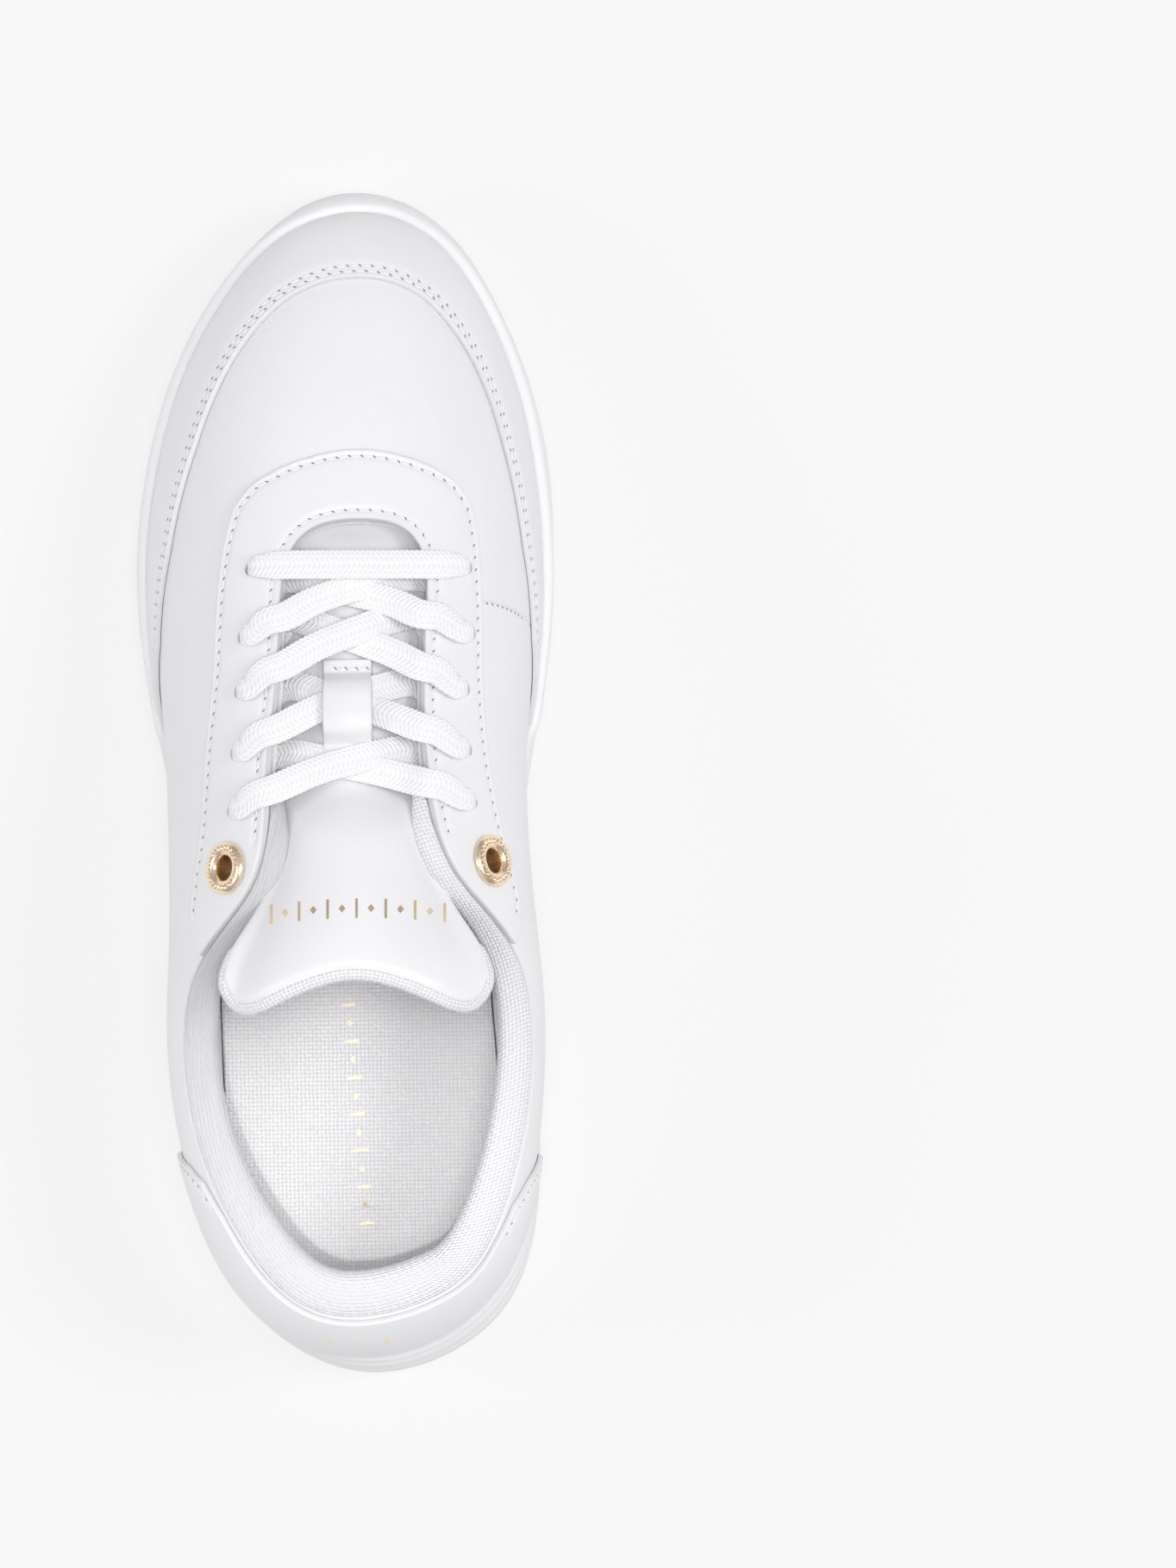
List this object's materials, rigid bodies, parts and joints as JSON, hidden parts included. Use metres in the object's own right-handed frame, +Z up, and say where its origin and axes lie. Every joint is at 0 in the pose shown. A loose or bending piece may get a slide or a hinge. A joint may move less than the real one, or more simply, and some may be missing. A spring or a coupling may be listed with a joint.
{
  "type": "court shoe",
  "caption": "Low lace-up court shoe in white leather with a cupsole, a padded textile collar and a padded tongue, empty and laced.",
  "frame": {"origin": "middle of the shoe's box, on the floor under the sole", "axes": "+Z up, +Y from heel to toe, +X to the inner (medial) side of a left foot"},
  "size_m": [0.0988, 0.28, 0.1082],
  "materials": {
    "rubber_white": "smooth matte moulded rubber",
    "eva_foam": "matte foam",
    "fibre_board": "pressed fibre board",
    "woven_textile": "woven canvas",
    "white_leather": "smooth finished full grain leather, soft sheen",
    "stiffener_sheet": "thermoplastic sheet",
    "lining_textile": "padded woven textile",
    "pu_foam": "open cell foam",
    "cotton_lace": "flat woven lace",
    "clear_plastic": "clear tipping film",
    "gold_metal": "polished light gold plate"
  },
  "bodies": {
    "shoe": {"outsole_cup": "rubber_white", "midsole_filler": "eva_foam", "lasting_board": "fibre_board", "sockliner_foam": "eva_foam", "sockliner_cover": "woven_textile", "vamp": "white_leather", "quarter_lateral": "white_leather", "quarter_medial": "white_leather", "toe_mudguard": "white_leather", "eyestay": "white_leather", "heel_patch": "white_leather", "toe_puff": "stiffener_sheet", "heel_counter": "stiffener_sheet", "vamp_lining": "lining_textile", "collar_lining": "lining_textile", "collar_foam": "pu_foam", "tongue_base_leather": "white_leather", "tongue_base_foam": "pu_foam", "tongue_base_lining": "lining_textile", "lace_keeper": "white_leather", "lace": "cotton_lace", "aglet_lateral": "clear_plastic", "aglet_medial": "clear_plastic", "eyelet_lateral": "gold_metal", "eyelet_washer_lateral": "gold_metal", "eyelet_medial": "gold_metal", "eyelet_washer_medial": "gold_metal"},
    "tongue_flap": {"tongue_flap_leather": "white_leather", "tongue_flap_foam": "pu_foam", "tongue_flap_lining": "lining_textile"}
  },
  "joints": [
    {"name": "tongue_flap_bend", "type": "hinge", "parent": "shoe", "child": "tongue_flap", "pos_m": [0.0035, -0.0098, 0.089], "axis": [1, 0, 0], "range_deg": [-25, 12], "stiffness_Nm_per_rad": 0.15}
  ]
}
